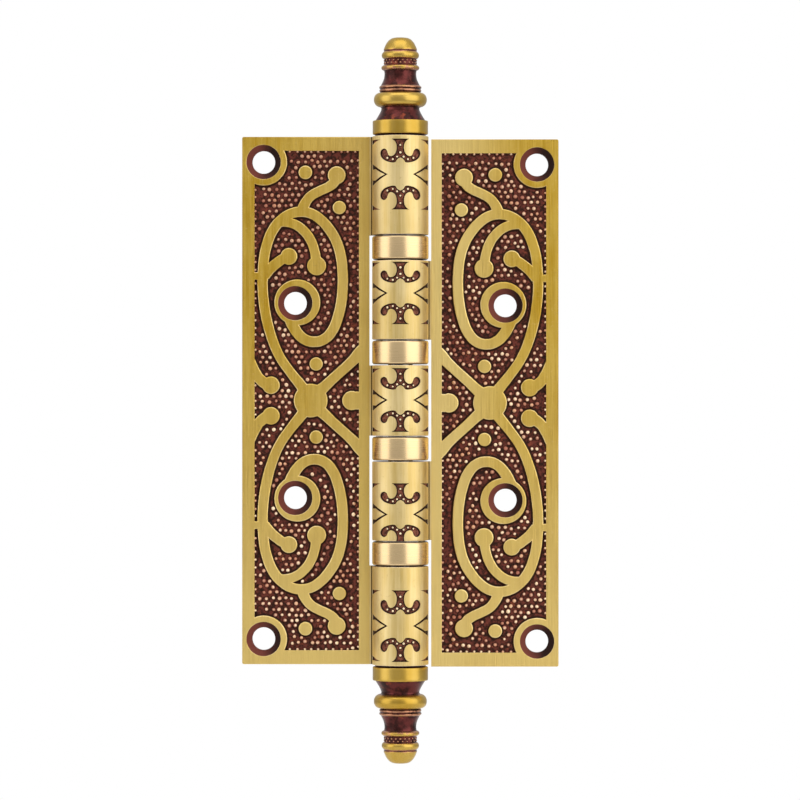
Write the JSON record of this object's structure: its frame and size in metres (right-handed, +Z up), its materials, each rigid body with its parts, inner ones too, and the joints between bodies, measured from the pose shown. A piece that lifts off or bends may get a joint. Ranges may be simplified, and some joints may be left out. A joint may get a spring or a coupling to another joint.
{
  "type": "ball-bearing butt hinge",
  "caption": "Ornate ball-bearing butt hinge in antique brass with scrollwork leaves and turned finials, opened flat.",
  "frame": {"origin": "on the hinge axis, halfway between the finials' tips", "axes": "+Z up the hinge axis towards the top finial; +Y from the decorated faces towards the door and frame that the leaves are screwed to; +X across the leaves, to the right of someone who faces the decorated side"},
  "size_m": [0.09, 0.016, 0.2062],
  "materials": {
    "leaf_brass": "brushed antique brass with dark oxblood patina in the recesses",
    "finial_brass": "polished antique brass with oxblood patina in the hollows",
    "shell_brass": "satin pale gold",
    "bearing_steel": "ground steel, lightly oiled",
    "cage_brass": "stamped, unpolished brass"
  },
  "bodies": {
    "leaf_left": {"leaf_left": "leaf_brass", "upper_race_1": "bearing_steel", "bearing_shell_2": "shell_brass", "lower_race_2": "bearing_steel", "upper_race_3": "bearing_steel", "bearing_shell_4": "shell_brass", "lower_race_4": "bearing_steel"},
    "leaf_right": {"leaf_right": "leaf_brass", "bearing_shell_1": "shell_brass", "lower_race_1": "bearing_steel", "upper_race_2": "bearing_steel", "bearing_shell_3": "shell_brass", "lower_race_3": "bearing_steel", "upper_race_4": "bearing_steel"},
    "pin": {"hinge_pin": "bearing_steel", "finial_top": "finial_brass", "finial_bottom": "finial_brass"},
    "cage_1": {"ball_cage_1": "cage_brass", "ball_1_1": "bearing_steel", "ball_1_2": "bearing_steel", "ball_1_3": "bearing_steel", "ball_1_4": "bearing_steel", "ball_1_5": "bearing_steel", "ball_1_6": "bearing_steel"},
    "cage_2": {"ball_cage_2": "cage_brass", "ball_2_1": "bearing_steel", "ball_2_2": "bearing_steel", "ball_2_3": "bearing_steel", "ball_2_4": "bearing_steel", "ball_2_5": "bearing_steel", "ball_2_6": "bearing_steel"},
    "cage_3": {"ball_cage_3": "cage_brass", "ball_3_1": "bearing_steel", "ball_3_2": "bearing_steel", "ball_3_3": "bearing_steel", "ball_3_4": "bearing_steel", "ball_3_5": "bearing_steel", "ball_3_6": "bearing_steel"},
    "cage_4": {"ball_cage_4": "cage_brass", "ball_4_1": "bearing_steel", "ball_4_2": "bearing_steel", "ball_4_3": "bearing_steel", "ball_4_4": "bearing_steel", "ball_4_5": "bearing_steel", "ball_4_6": "bearing_steel"}
  },
  "joints": [
    {"name": "leaf_swing", "type": "hinge", "parent": "leaf_left", "child": "leaf_right", "pos_m": [0, 0, 0], "axis": [0, 0, 1], "range_deg": [-180, 118]},
    {"name": "pin_spin", "type": "hinge", "parent": "leaf_left", "child": "pin", "pos_m": [0, 0, 0], "axis": [0, 0, 1], "continuous": true},
    {"name": "cage_1_roll", "type": "hinge", "parent": "leaf_left", "child": "cage_1", "pos_m": [0, 0, 0], "axis": [0, 0, 1], "range_deg": [-91, 60]},
    {"name": "cage_2_roll", "type": "hinge", "parent": "leaf_left", "child": "cage_2", "pos_m": [0, 0, 0], "axis": [0, 0, 1], "range_deg": [-91, 60]},
    {"name": "cage_3_roll", "type": "hinge", "parent": "leaf_left", "child": "cage_3", "pos_m": [0, 0, 0], "axis": [0, 0, 1], "range_deg": [-91, 60]},
    {"name": "cage_4_roll", "type": "hinge", "parent": "leaf_left", "child": "cage_4", "pos_m": [0, 0, 0], "axis": [0, 0, 1], "range_deg": [-91, 60]}
  ],
  "couplings": [
    {"joint": "cage_1_roll", "follows": "leaf_swing", "ratio": 0.5},
    {"joint": "cage_2_roll", "follows": "leaf_swing", "ratio": 0.5},
    {"joint": "cage_3_roll", "follows": "leaf_swing", "ratio": 0.5},
    {"joint": "cage_4_roll", "follows": "leaf_swing", "ratio": 0.5}
  ]
}
